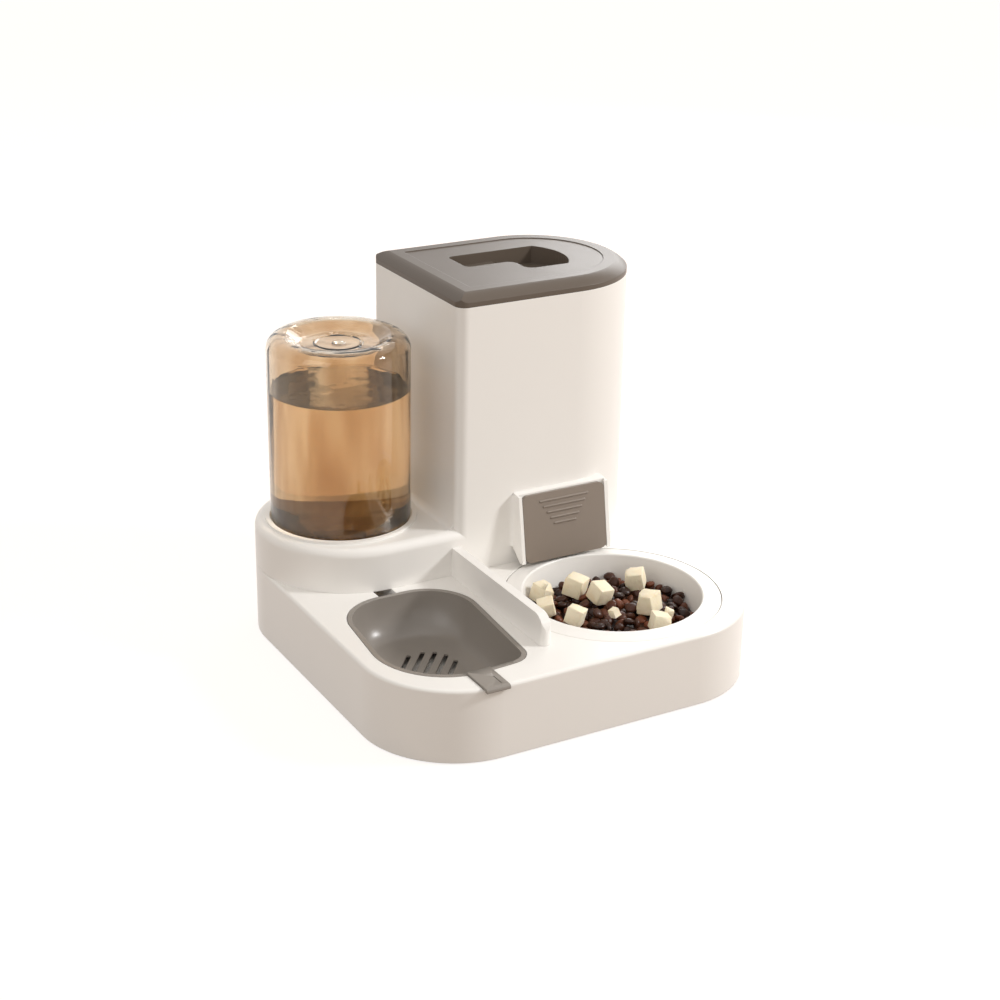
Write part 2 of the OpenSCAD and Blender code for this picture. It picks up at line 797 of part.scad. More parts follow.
// Space for food inside the tower: everything above three slopes that meet at the mouth
module food_space(drop = 0) {
    reach = tower_top + base_w;
    translate([0, 0, mouth_low + 1 - drop])
        intersection() {
            translate([-reach, face_y + body_wall, 0]) rotate([back_slope, 0, 0])
                translate([0, -reach, 0]) cube([2 * reach, 2 * reach, reach]);
            translate([gate_x - mouth_half, 0, 0]) rotate([0, side_slope, 0])
                translate([-reach, -reach, 0]) cube([2 * reach, 2 * reach, reach]);
            translate([gate_x + mouth_half, 0, 0]) rotate([0, -side_slope, 0])
                translate([-reach, -reach, 0]) cube([2 * reach, 2 * reach, reach]);
        }
}

module hopper_ramp() {
    color(white)
        intersection() {
            translate([0, 0, deck_z])
                linear_extrude(tower_top - deck_z - 60) tower_plan(body_wall + play);
            difference() {
                union() {
                    food_space(ramp_t);
                    for (x = [gate_x - ramp_web_x, gate_x + ramp_web_x])
                        translate([x - 1, face_y, deck_z - 1]) cube([2, now_tower_d, 100]);
                }
                food_space();
            }
        }
}

module outlet_gate() {
    color(taupe)
        in_gate_frame() {
            translate([0, gate_t, 0]) rotate([90, 0, 0]) linear_extrude(gate_t) {
                for (x = [-1, 1])
                    for (z = [-gate_h + gate_corner, -gate_corner])
                        translate([x * (now_gate_w / 2 - gate_corner), z]) circle(gate_corner);
                translate([-now_gate_w / 2 + gate_corner, -gate_h])
                    square([now_gate_w - 2 * gate_corner, gate_h]);
                translate([-now_gate_w / 2, -gate_h + gate_corner])
                    square([now_gate_w, gate_h - 2 * gate_corner]);
            }
            for (s = [-1, 1])
                translate([
                    s > 0 ? now_gate_w / 2 - fuse : -now_gate_w / 2 - tongue_w,
                    gate_t - tongue_t,
                    -gate_h + tongue_end
                ])
                    cube([tongue_w + fuse, tongue_t, gate_h - 2 * tongue_end]);
            for (i = [0:grip_count - 1])
                grip_rib(now_grip_l - i * now_grip_step, -grip_drop - i * grip_pitch);
        }
}

module grip_rib(l, z) {
    half = l / 2 - grip_r;
    translate([0, 0.1, z]) {
        translate([-half, 0, 0]) rotate([0, 90, 0]) cylinder(r = grip_r, h = 2 * half, $fn = 24);
        for (s = [-1, 1]) translate([s * half, 0, 0]) sphere(grip_r, $fn = 24);
    }
}

module food_bowl() {
    f = bowl_fillet;
    low = bowl_floor;
    wall_x = now_bowl_r - bowl_draft;
    t = bowl_wall;
    top = deck_z + rim_rise;
    inner = concat(
        [[0, low]],
        arc_points(wall_x - f, low + f, f, -90, 0),
        arc_points(now_bowl_r + 1.6, top - 1.6, 1.6, 180, 90, 6)
    );
    outer = concat(
        arc_points(now_flange_r - 1, deck_z - 1, 1, 90, 0, 4),
        [[now_flange_r, deck_z - flange_t], [now_bowl_r + t, deck_z - flange_t]],
        arc_points(wall_x - f, low + f, f + t, 0, -90),
        [[0, low - t]]
    );
    color(white)
        translate([bowl_x, bowl_y, 0]) rotate_extrude() polygon(concat(inner, outer));
}

// Hollow form of the tray, grown outwards by g
module tray_form(g = 0, extra = 0) {
    hull()
        for (k = [0:tray_steps]) {
            a = 90 * k / tray_steps;
            s = tray_floor + (1 - tray_floor) * pow(cos(a), 0.55);
            z = deck_z - (tray_depth + g) * pow(sin(a), 1.1) + (k == 0 ? extra : 0);
            translate([slot_mid.x, slot_mid.y, z - 0.1])
                scale([s, s, 1]) linear_extrude(0.1)
                    translate([-slot_mid.x, -slot_mid.y]) tray_plan(g - tray_lip);
        }
}

module water_tray() {
    color(dark_grey)
        difference() {
            union() {
                tray_form(tray_wall);
                translate([0, 0, deck_z - lip_t]) linear_extrude(lip_t) tray_plan();
                finger_tab();
            }
            tray_form(0, 1);
            floor_slots();
        }
}

module floor_slots() {
    translate([slot_mid.x, slot_mid.y, deck_z - tray_depth - tray_wall - 4])
        rotate(slot_turn)
            for (i = [0:slot_count - 1]) {
                off = (i - (slot_count - 1) / 2) * now_slot_pitch;
                half = sqrt(now_slot_field_r * now_slot_field_r - off * off) - slot_w / 2;
                translate([-half, off - slot_w / 2, 0]) cube([2 * half, slot_w, 12]);
                for (s = [-1, 1])
                    translate([s * half, off, 0]) cylinder(r = slot_w / 2, h = 12, $fn = 24);
            }
}

// Tab that lies across the deck's front edge and turns down in front of it
module finger_tab() {
    y = front_y - tab_overhang;
    low = deck_z - 0.7;
    end_y = front_y + now_tray_front + 3;
    foot_z = low + tab_t - tab_drop;
    difference() {
        along_x(tab_x - tab_w / 2, tab_x + tab_w / 2)
            polygon(concat(
                [[end_y, low + tab_t]],
                arc_points(y + tab_t, low, tab_t, 90, 180, 5),
                [[y, foot_z], [front_y - play, foot_z], [front_y - play, low], [end_y, low]]
            ));
        translate([tab_x + 4, front_y + 2, low + tab_t - 0.5]) cube([0.8, 11, 1]);
    }
}

// Outer profile of the bottle, closed end up, as radius and height
function bottle_outline(g) =
    let (
        r = now_bottle_r - g,
        top = bottle_top - g,
        f = bottle_round - g * 0.5,
        dish = top - punt_depth,
        dish_r = now_punt_r - 8 + g
    )
    concat(
        [[neck_r - g, mouth_z - (g > 0 ? 1 : 0)], [neck_r - g, neck_top_z + g * 0.5]],
        arc_points(r - 6, bottle_shoulder_z + g * 0.5, 6, -50, 0, 5),
        arc_points(r - f, top - f, f, 0, 90, 8),
        [[now_punt_r + g, top]],
        arc_points(now_punt_r + g - 2, top - 2, 2, 0, -40, 3),
        [[dish_r, dish + 0.8], [dish_r - 3, dish]],
        [[punt_ring_r + 1.5, dish], [punt_ring_r, dish + 0.8], [punt_ring_r - 1.5, dish]],
        [[5, dish], [3, dish + 1.2], [0, dish + 1.6]]
    );

module bottle() {
    color([0.85, 0.9, 0.92, 0.35])
        translate([bottle_x, bottle_y, 0])
            difference() {
                rotate_extrude() polygon(concat([[0, mouth_z]], bottle_outline(0)));
                rotate_extrude() polygon(concat([[0, mouth_z - 1]], bottle_outline(bottle_wall)));
            }
}

module bottle_water() {
    color([0.8, 0.88, 0.9, 0.4])
        translate([bottle_x, bottle_y, 0])
            difference() {
                intersection() {
                    rotate_extrude()
                        polygon(concat([[0, mouth_z - 1]], bottle_outline(bottle_wall + play)));
                    translate([0, 0, mouth_z + 0.4])
                        cylinder(r = now_bottle_r, h = water_top - mouth_z);
                }
                translate([0, 0, mouth_z - 2])
                    cylinder(r = washer_r + 1, h = tube_l + valve_open + 10);
            }
}

module bottle_cap() {
    color(white)
        translate([bottle_x, bottle_y, cap_z])
            difference() {
                union() {
                    cylinder(r = cap_r - 0.8, h = cap_l);
                    for (i = [0:cap_ribs - 1])
                        rotate(i * 360 / cap_ribs)
                            translate([cap_r - 1.2, 0, 1]) cylinder(r = 1.2, h = cap_l - 2, $fn = 16);
                }
                translate([0, 0, cap_end])
                    difference() {
                        cylinder(r = neck_r + 1.2, h = cap_l);
                        cylinder(r = tube_r + 1.4, h = tube_l);
                    }
                translate([0, 0, cap_end]) cylinder(r = tube_r, h = cap_l);
                translate([0, 0, -1]) cylinder(r = stem_r + play, h = 10);
                for (i = [0:5])
                    rotate(60 * i) translate([tube_r - 1.2, 0, -1]) cylinder(r = 0.8, h = 5, $fn = 24);
            }
}

module cap_gasket() {
    color(soft_clear)
        translate([bottle_x, bottle_y, cap_z + cap_end])
            difference() {
                cylinder(r = neck_r + 0.6, h = gasket_t);
                translate([0, 0, -1]) cylinder(r = tube_r + 2.4, h = gasket_t + 2);
            }
}

module valve_plunger() {
    color(white)
        translate([bottle_x, bottle_y, 0]) {
            translate([0, 0, plunger_z]) cylinder(r = stem_r + 2.2, h = 1.4);
            translate([0, 0, plunger_z]) cylinder(r = stem_r, h = washer_z + 4 - plunger_z);
            translate([0, 0, washer_z + 1.8]) cylinder(r = washer_r - 1, h = 1.6);
        }
}

module valve_seal() {
    color(rubber_grey)
        translate([bottle_x, bottle_y, washer_z])
            difference() {
                cylinder(r = washer_r, h = 1.5);
                translate([0, 0, -1]) cylinder(r = stem_r + 0.1, h = 4);
            }
}

module valve_spring() {
    low = plunger_z + 1.4 + wire_r + 0.1;
    color(metal)
        translate([bottle_x, bottle_y, 0])
            coil(spring_turns, stem_r + 0.5 + wire_r, wire_r, low, cap_z - wire_r - 0.1);
}

// Round wire wound into a coil from height z0 to z1
module coil(turns, r, wire, z0, z1) {
    n = 20 * turns;
    k = 8;
    points = [
        for (i = [0:n])
            let (a = 18 * i, z = z0 + (z1 - z0) * i / n)
                for (j = [0:k - 1])
                    let (b = j * 360 / k, q = r + wire * cos(b))
                        [q * cos(a), q * sin(a), z + wire * sin(b)]
    ];
    sides = [
        for (i = [0:n - 1])
            for (j = [0:k - 1])
                let (p = i * k + j, q = i * k + (j + 1) % k)
                    each [[p, q, q + k], [p, q + k, p + k]]
    ];
    ends = [[for (j = [k - 1:-1:0]) j], [for (j = [0:k - 1]) n * k + j]];
    polyhedron(points, concat(sides, ends));
}

module lid() {
    color(taupe)
        difference() {
            union() {
                difference() {
                    lid_form();
                    lid_room();
                }
                recess_well();
            }
            translate([0, 0, lid_top - recess_shallow]) linear_extrude(30) recess_plan();
            translate([0, 0, lid_top - recess_deep])
                linear_extrude(30) intersection() {
                    recess_plan();
                    translate([recess_cx, recess_y]) circle(recess_disc_r);
                    translate([recess_neck, recess_front]) square([100, now_recess_d]);
                }
            translate([0, 0, lid_top - panel_step]) linear_extrude(5) tower_plan(panel_inset);
        }
}

// Outer form of the lid: upright band, sloping crown edge with a slight bulge, flat top
module lid_form() {
    crown = [
        for (i = [0:7])
            let (u = i / 7)
                [crown_round * u, band_h + crown_h * u * (1 + crown_bulge * (1 - u))]
    ];
    top = band_h + crown_h;
    translate([tower_cx, arc_y, lid_z])
        rotate([0, 0, -90]) rotate_extrude(angle = 180)
            polygon(concat([[0, 0], [arc_r, 0]], [for (p = crown) [arc_r - p.x, p.y]], [[0, top]]));
    intersection() {
        along_x(tower_left - 1, tower_cx)
            translate([0, lid_z])
                polygon(concat(
                    [[back_y, 0]],
                    [for (p = crown) [back_y - p.x, p.y]],
                    [for (i = [7:-1:0]) [face_y + crown[i].x, crown[i].y]],
                    [[face_y, 0]]
                ));
        translate([0, back_y + 1, 0]) rotate([90, 0, 0]) linear_extrude(now_tower_d + 2)
            translate([tower_left, lid_z])
                polygon(concat([[200, 0], [0, 0]], crown, [[200, top]]));
        translate([0, 0, lid_z - 1]) linear_extrude(30) tower_plan();
    }
}

// Hollow under the lid
module lid_room() {
    ceiling = lid_top - panel_step - lid_wall;
    translate([0, 0, lid_z - 1])
        linear_extrude(band_h + 0.5) tower_plan(body_wall + plug_gap - 0.4);
    translate([0, 0, lid_z]) linear_extrude(ceiling - lid_z) tower_plan(crown_round - 1.5);
}

// Walls and floor round the hand recess
module recess_well() {
    w = lid_wall;
    translate([recess_left - w, recess_slot_front - w, lid_top - recess_shallow - w])
        cube([recess_neck - recess_left + 2 * w, now_recess_slot_d + 2 * w, recess_shallow]);
    translate([recess_neck - w, recess_front - w, lid_top - recess_deep - w])
        cube([recess_right - recess_neck + 2 * w, now_recess_d + 2 * w, recess_deep]);
}

// Plan of the hand recess: a slot that opens into a wider, rounded hollow
module recess_plan() {
    c = 4;
    k = recess_corner;
    polygon(concat(
        arc_points(recess_left + c, recess_back - c, c, 90, 180, 4),
        arc_points(recess_left + c, recess_slot_front + c, c, 180, 270, 4),
        arc_points(recess_neck - k, recess_slot_front - k, k, 90, 0, 5),
        arc_points(recess_neck + k, recess_front + k, k, 180, 270, 5),
        arc_points(recess_cx, recess_y, recess_disc_r, -recess_turn, recess_turn, 16)
    ));
}

module lid_plug() {
    out = body_wall + plug_gap;
    top = lid_z + band_h - 0.8;
    color(taupe)
        difference() {
            translate([0, 0, plug_z]) linear_extrude(top - plug_z) tower_plan(out);
            translate([0, 0, plug_z + plug_wall]) linear_extrude(50) tower_plan(out + plug_wall);
            translate([0, 0, plug_z + 4])
                linear_extrude(seal_h + 0.4) difference() {
                    tower_plan(out - 2);
                    tower_plan(out + 0.9);
                }
        }
}

module lid_seal() {
    color(rubber_grey)
        translate([0, 0, plug_z + 4.2])
            linear_extrude(seal_h) difference() {
                tower_plan(body_wall + play);
                tower_plan(body_wall + plug_gap + 0.8);
            }
}

module rubber_foot(i) {
    p = foot_places[i];
    color(rubber_grey)
        translate([p.x, p.y, 0]) {
            cylinder(r1 = foot_r - 0.6, r2 = foot_r, h = 0.6);
            translate([0, 0, 0.6]) cylinder(r = foot_r, h = foot_t - 0.6);
            cylinder(r = tube_bore - stem_play, h = foot_t + 6);
        }
}

module body_screws() {
    color(metal)
        for (p = screw_places)
            translate([p.x, p.y, deck_z - base_wall]) {
                translate([0, 0, -head_h]) cylinder(r = head_r, h = head_h);
                cylinder(r = screw_r, h = screw_l);
            }
}

module kibble_heap() {
    f = bowl_fillet;
    wall_x = now_bowl_r - bowl_draft;
    color([0.42, 0.25, 0.15])
        difference() {
            translate([bowl_x, bowl_y, 0])
                rotate_extrude()
                    polygon(concat(
                        [[0, bowl_floor + play]],
                        arc_points(wall_x - f, bowl_floor + f, f - play, -90, 0),
                        [for (i = [8:-1:0]) [heap_r * i / 8, heap_z(heap_r * i / 8)]]
                    ));
            for (p = treats) treat(p, 0.8);
        }
}

function heap_z(r) = bowl_floor + heap_edge + heap_rise * (1 - pow(r / heap_r, 2));

module treat(p, extra = 0) {
    side = now_treat_side * p[2];
    at = [p.x, p.y] * both;
    translate([bowl_x + at.x, bowl_y + at.y, heap_z(norm(at)) + side * 0.22])
        rotate([p[4], p[4] / 2, p[3]]) cube(side + extra, center = true);
}

module treat_cubes() {
    color([0.94, 0.9, 0.8]) for (p = treats) treat(p);
}

base_shell();
upper_body();
hopper_ramp();
outlet_gate();
lid();
lid_plug();
lid_seal();
food_bowl();
water_tray();
bottle();
bottle_water();
bottle_cap();
cap_gasket();
valve_plunger();
valve_spring();
valve_seal();
rubber_foot(0);  // rubber_foot_1
rubber_foot(1);  // rubber_foot_2
rubber_foot(2);  // rubber_foot_3
rubber_foot(3);  // rubber_foot_4
body_screws();
kibble_heap();
treat_cubes();
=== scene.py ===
import math
import random

import bmesh
import bpy
import numpy as np
from bpy.props import FloatProperty, FloatVectorProperty, IntProperty, PointerProperty
from mathutils import Euler, Matrix, Vector, noise
from mathutils.bvhtree import BVHTree


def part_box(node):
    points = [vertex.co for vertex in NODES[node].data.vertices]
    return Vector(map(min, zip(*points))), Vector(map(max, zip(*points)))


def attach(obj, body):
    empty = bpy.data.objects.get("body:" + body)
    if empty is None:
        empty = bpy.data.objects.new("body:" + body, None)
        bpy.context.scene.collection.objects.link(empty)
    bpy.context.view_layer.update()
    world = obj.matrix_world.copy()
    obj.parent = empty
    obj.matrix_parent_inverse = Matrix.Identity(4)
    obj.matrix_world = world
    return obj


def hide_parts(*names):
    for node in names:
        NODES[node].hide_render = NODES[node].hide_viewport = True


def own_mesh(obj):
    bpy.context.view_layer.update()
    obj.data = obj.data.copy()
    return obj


bl_info = {
    "name": "Pet Feeder Dresser",
    "version": (1, 0, 0),
    "blender": (4, 5, 0),
    "location": "View3D > Sidebar > Feeder",
    "description": "Dresses the packed pet feeder with its finishes, food, bottle and stage",
    "category": "Object",
}

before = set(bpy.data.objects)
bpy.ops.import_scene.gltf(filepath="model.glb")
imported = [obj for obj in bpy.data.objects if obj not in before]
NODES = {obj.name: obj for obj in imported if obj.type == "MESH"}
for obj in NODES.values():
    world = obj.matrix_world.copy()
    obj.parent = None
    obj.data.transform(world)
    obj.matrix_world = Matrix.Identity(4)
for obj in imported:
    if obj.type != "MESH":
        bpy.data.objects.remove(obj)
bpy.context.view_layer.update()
STAND = "stand"
MM = 0.001

# How the bottle's end is pressed, in metres; heights are above the hollow's floor
DISH_LEAN = 0.008       # how far the hollow's side leans in
DISH_FLAT = 0.011       # how far in its floor becomes flat
DISH_LIP = 0.0008
RING_SHARE = 0.45       # the pressed ring's radius as a share of the hollow's
RING_HALF = 0.0015
NUB_FOOT = 0.005
NUB_SIDE = 0.003
NUB_RISE = 0.0012
NUB_TOP = 0.0016

# How the water lies in the bottle, in metres
WET_SHARE = 0.3         # how far the water reaches into the wall, so that no gap shows
WATER_START = 0.008     # above the bottle's mouth, over the cap's valve
RIM_CLIMB = 0.0012      # how far the surface climbs the wall
RIM_WIDTH = 0.0016

# How a treat is cut and worn, and how the pellets lie
CUTS = 2                # corners cut off each cube
CUT_LEAN = 0.35
CUT_NEAR, CUT_FAR = 0.62, 0.8
SHORT_EDGE = 0.0008     # shorter edges are merged, as a bevel would fold there
WORN_COARSE, WORN_FINE, WORN_ALL = 0.0007, 0.0003, 0.0005
CLOSE = 0.92            # a pellet's ball as a share of its mean size
TOUCH = 0.8             # how near a pellet's ball may come to the crown and the treats
BOWL_FILLET = 0.016
CROWN_RISE = 0.006
MISSES = 12             # rounds without a free place before the bowl counts as full

# Where the lamps hang, how large they are and which value sets their power
LAMPS = (("BackLamp", (1.3, 1.15, 0.85), 1.1, 0.8, "back_power"),
         ("TopLamp", (0.15, 0.1, 1.6), 1.3, 1.3, "top_power"),
         ("FillLamp", (-1.7, -0.8, 1.1), 1.4, 1.4, "fill_power"),
         ("KeyLamp", (1.78, -1.09, 1.42), 0.36, 0.36, "key_power"))
LAMP_TARGET = (0.0, 0.0, 0.12)


# Sizes and colours that a user would change

def length(name, description, default_mm):
    return FloatProperty(name=name, description=description, default=default_mm * MM,
                         min=0.0, subtype="DISTANCE", unit="LENGTH")


def colour(name, description, default):
    return FloatVectorProperty(name=name, description=description, default=default,
                               min=0.0, max=1.0, size=3, subtype="COLOR")


def share(name, description, default, most=1.0):
    return FloatProperty(name=name, description=description, default=default,
                         min=0.0, max=most, subtype="FACTOR")


class FeederFinishes(bpy.types.PropertyGroup):
    """Colours and finishes of the feeder's mouldings."""
    white: colour("White", "Warm white of the base, tower and bowl", (0.86, 0.835, 0.8))
    # Lid and gate are one plastic: the lid's darker copy is painted shade, the gate's lighter copy
    # painted light
    taupe: colour("Taupe", "Warm grey of the lid", (0.12, 0.094, 0.073))
    gate: colour("Gate", "Warm grey of the gate", (0.23, 0.187, 0.152))
    grey: colour("Grey", "Grey of the lift-out water tray", (0.265, 0.237, 0.21))
    seal: colour("Seal", "Milky silicone of the seals", (0.62, 0.6, 0.57))
    rubber: colour("Rubber", "Dark rubber of the feet", (0.035, 0.035, 0.037))
    steel: colour("Steel", "Steel of the screws and the spring", (0.62, 0.61, 0.6))
    # The warm tints of the bottle and the water are painted refraction of the surroundings seen
    # through them
    clear: colour("Clear plastic", "Warm amber tint of the bottle's wall", (0.76, 0.62, 0.44))
    water: colour("Water", "Tint of the water", (0.9, 0.82, 0.7))
    white_roughness: share("White roughness", "Roughness of the white mouldings", 0.3)
    taupe_roughness: share("Taupe roughness", "Roughness of the lid and the gate", 0.36)
    grey_roughness: share("Grey roughness", "Roughness of the water tray", 0.3)
    soft_edge: length("Soft edge", "Radius that softens every moulded edge", 0.6)
    rib_edge: length("Rib edge", "Radius that softens the gate's fine ribs", 0.25)


class FeederFood(bpy.types.PropertyGroup):
    """The kibble and the treats in the bowl."""
    kibble_dark: colour("Dark kibble", "Colour of the darkest pellets", (0.02, 0.0065, 0.003))
    kibble_light: colour("Light kibble", "Colour of the lightest pellets", (0.17, 0.05, 0.02))
    treat: colour("Treat", "Cream of the dried treats", (0.86, 0.77, 0.58))
    pellet_length: length("Pellet length", "Length of one pellet", 9.6)
    pellet_width: length("Pellet width", "Width of one pellet", 8.8)
    pellet_height: length("Pellet height", "Thickness of one pellet", 5.2)
    treat_round: length("Treat rounding", "Rounding of the largest treat's edges", 1.5)
    layers: FloatProperty(name="Layers", description="Layers of loose pellets over the packed core",
                          default=2.2, min=1.0, max=6.0)
    tries: IntProperty(name="Tries", description="Places tried for each pellet",
                       default=60, min=4, max=400)
    seed: IntProperty(name="Seed", description="Number that sets how the pellets fall",
                      default=7, min=0)


class FeederBottle(bpy.types.PropertyGroup):
    """The bottle's wall and the forms pressed into its end."""
    wall: length("Wall", "Thickness of the bottle's wall", 1.8)
    end_round: length("End rounding", "Rounding of the bottle's end", 10.0)
    punt_radius: length("Punt radius", "Radius of the hollow in the bottle's end", 38.0)
    punt_depth: length("Punt depth", "Depth of the hollow in the bottle's end", 6.5)
    shoulder_height: length("Shoulder height", "Height where the wall turns to the neck", 86.3)
    neck_height: length("Neck height", "Height where the neck begins", 66.3)
    neck_radius: length("Neck radius", "Outer radius of the neck", 19.0)
    water_height: length("Water height", "Height of the water's surface", 190.0)
    valve_travel: length("Valve travel", "How far the valve's plunger rises", 1.5)
    steps: IntProperty(name="Steps", description="Faces round the bottle", default=120, min=24)


class FeederStage(bpy.types.PropertyGroup):
    """Floor, lamps and camera."""
    floor: colour("Floor", "Colour of the floor", (0.3, 0.225, 0.17))
    floor_glow: share("Floor glow", "White added to the floor where the camera sees it", 0.84)
    sky: colour("Sky", "Light that comes from all sides", (1.0, 0.955, 0.9))
    sky_strength: share("Sky strength", "Strength of the light from all sides", 0.67, 4.0)
    back_power: FloatProperty(name="Back lamp",
                              description="Power of the lamp behind, on the right",
                              default=10.0, min=0.0, subtype="POWER", unit="POWER")
    top_power: FloatProperty(name="Top lamp", description="Power of the overhead lamp",
                             default=2.0, min=0.0, subtype="POWER", unit="POWER")
    fill_power: FloatProperty(name="Fill lamp", description="Power of the soft lamp on the left",
                              default=6.0, min=0.0, subtype="POWER", unit="POWER")
    key_power: FloatProperty(name="Key lamp", description="Power of the main lamp, on the right",
                              default=36.0, min=0.0, subtype="POWER", unit="POWER")
    camera_place: FloatVectorProperty(name="Camera", description="Where the camera stands",
                                      default=(-0.64796, -1.1329, 0.66), subtype="TRANSLATION",
                                      unit="LENGTH", size=3)
    camera_pitch: FloatProperty(name="Pitch", description="How far the camera looks down",
                                default=math.radians(22.61), subtype="ANGLE", unit="ROTATION")
    camera_yaw: FloatProperty(name="Yaw", description="How far the camera looks to the right",
                              default=math.radians(29.85), subtype="ANGLE", unit="ROTATION")
    camera_roll: FloatProperty(name="Roll", description="How far the camera leans",
                               default=math.radians(1.04), subtype="ANGLE", unit="ROTATION")
    lens: FloatProperty(name="Lens", description="Focal length in millimetres",
                        default=69.73, min=10.0)


# Node helpers

def new_material(name):
    """An empty material with its output and Principled shader."""
    mat = bpy.data.materials.new(name)
    mat.use_nodes = True
    tree = mat.node_tree
    tree.nodes.clear()
    out = tree.nodes.new("ShaderNodeOutputMaterial")
    shader = tree.nodes.new("ShaderNodeBsdfPrincipled")
    tree.links.new(shader.outputs["BSDF"], out.inputs["Surface"])
    return mat, tree, shader


def place_of(tree):
    """The piece's own coordinates, in metres."""
    return tree.nodes.new("ShaderNodeTexCoord").outputs["Object"]


def cloud(tree, where, scale, detail=2.0, roughness=0.5):
    """A noise whose grains measure about one metre over scale."""
    node = tree.nodes.new("ShaderNodeTexNoise")
    node.inputs["Scale"].default_value = scale
    node.inputs["Detail"].default_value = detail
    node.inputs["Roughness"].default_value = roughness
    tree.links.new(where, node.inputs["Vector"])
    return node.outputs["Fac"]


def span(tree, value, low, high, from_low=0.0, from_high=1.0):
    """Maps a value to run from low to high."""
    node = tree.nodes.new("ShaderNodeMapRange")
    node.inputs["From Min"].default_value = from_low
    node.inputs["From Max"].default_value = from_high
    node.inputs["To Min"].default_value = low
    node.inputs["To Max"].default_value = high
    tree.links.new(value, node.inputs["Value"])
    return node.outputs["Result"]


def blend_colours(tree, amount, first, second):
    """Mixes two colours, or sockets, by an amount."""
    node = tree.nodes.new("ShaderNodeMix")
    node.data_type = "RGBA"
    tree.links.new(amount, node.inputs["Factor"])
    for side, value in (("A", first), ("B", second)):
        socket = [s for s in node.inputs if s.name == side and s.type == "RGBA"][0]
        if isinstance(value, bpy.types.NodeSocket):
            tree.links.new(value, socket)
        else:
            socket.default_value = (*value, 1.0)
    return [s for s in node.outputs if s.type == "RGBA"][0]


def shaded(base, factor):
    """A colour made lighter or darker."""
    return tuple(min(1.0, c * factor) for c in base)


def bumps(tree, shader, layers, edge=0.0):
    """Stacks (height, depth in metres, strength) layers on the shader's normal, over soft edges."""
    normal = None
    if edge:
        soft = tree.nodes.new("ShaderNodeBevel")
        soft.samples = 6
        soft.inputs["Radius"].default_value = edge
        normal = soft.outputs["Normal"]
    for height, depth, strength in layers:
        node = tree.nodes.new("ShaderNodeBump")
        node.inputs["Distance"].default_value = depth
        node.inputs["Strength"].default_value = strength
        tree.links.new(height, node.inputs["Height"])
        if normal is not None:
            tree.links.new(normal, node.inputs["Normal"])
        normal = node.outputs["Normal"]
    tree.links.new(normal, shader.inputs["Normal"])


# Finishes

def moulded_plastic(name, base, roughness, edge, grain=0.35, shine=0.5):
    """Injection-moulded plastic: spark grain, flow marks in its gloss and a faint tone drift."""
    mat, tree, shader = new_material(name)
    where = place_of(tree)
    drift = cloud(tree, where, scale=9.0, detail=1.0)
    flow = cloud(tree, where, scale=26.0)
    spark = cloud(tree, where, scale=1500.0, roughness=0.6)
    tone = blend_colours(tree, drift, shaded(base, 0.992), shaded(base, 1.008))
    tree.links.new(tone, shader.inputs["Base Color"])
    tree.links.new(span(tree, flow, roughness - 0.03, roughness + 0.03), shader.inputs["Roughness"])
    shader.inputs["Specular IOR Level"].default_value = shine
    bumps(tree, shader, [(spark, 0.00005, grain)], edge)
    return mat


def clear_plastic(name, tint, ior):
    """Blown clear plastic or water: upright ripples, a warm tint with upright streaks of deeper
    tint that are painted refraction of the surroundings, a painted paler edge where the wall turns
    away from view, and light let through to what it shades."""
    mat, tree, shader = new_material(name)
    upright = tree.nodes.new("ShaderNodeMapping")
    upright.inputs["Scale"].default_value = (1.0, 1.0, 0.2)
    tree.links.new(place_of(tree), upright.inputs["Vector"])
    wave = cloud(tree, upright.outputs["Vector"], scale=62.0, detail=1.0)
    turned_away = tree.nodes.new("ShaderNodeLayerWeight")
    turned_away.inputs["Blend"].default_value = 0.5
    # pale: the painted paler edge where the wall turns from view, and the tint of light let through
    # to shadows
    pale = tuple(1.0 - (1.0 - c) * 0.15 for c in tint)
    deep = tuple(c ** 1.7 for c in tint)
    # Upright streaks of deeper tint: painted refraction of the surroundings seen through the wall
    painted_refraction_streaks = blend_colours(tree, span(tree, wave, 0.0, 1.0, 0.35, 0.65), tint, deep)
    tree.links.new(blend_colours(tree, turned_away.outputs["Facing"], painted_refraction_streaks, pale),
                   shader.inputs["Base Color"])
    shader.inputs["Transmission Weight"].default_value = 1.0
    shader.inputs["IOR"].default_value = ior
    tree.links.new(span(tree, wave, 0.0, 0.03), shader.inputs["Roughness"])
    bumps(tree, shader, [(wave, 0.003, 0.35)])
    through = tree.nodes.new("ShaderNodeBsdfTransparent")
    through.inputs["Color"].default_value = (*pale, 1.0)
    path = tree.nodes.new("ShaderNodeLightPath")
    mix = tree.nodes.new("ShaderNodeMixShader")
    out = [n for n in tree.nodes if n.type == "OUTPUT_MATERIAL"][0]
    tree.links.new(path.outputs["Is Shadow Ray"], mix.inputs["Fac"])
    tree.links.new(shader.outputs["BSDF"], mix.inputs[1])
    tree.links.new(through.outputs["BSDF"], mix.inputs[2])
    tree.links.new(mix.outputs["Shader"], out.inputs["Surface"])
    return mat


def silicone(name, base):
    """Soft milky seal."""
    mat, tree, shader = new_material(name)
    where = place_of(tree)
    mottle = cloud(tree, where, 160.0, 3.0)
    tree.links.new(blend_colours(tree, mottle, shaded(base, 0.94), shaded(base, 1.05)),
                   shader.inputs["Base Color"])
    shader.inputs["Roughness"].default_value = 0.48
    shader.inputs["Subsurface Weight"].default_value = 0.3
    shader.inputs["Subsurface Radius"].default_value = (0.004, 0.003, 0.002)
    bumps(tree, shader, [(cloud(tree, where, 900.0), 0.00006, 0.4)])
    return mat


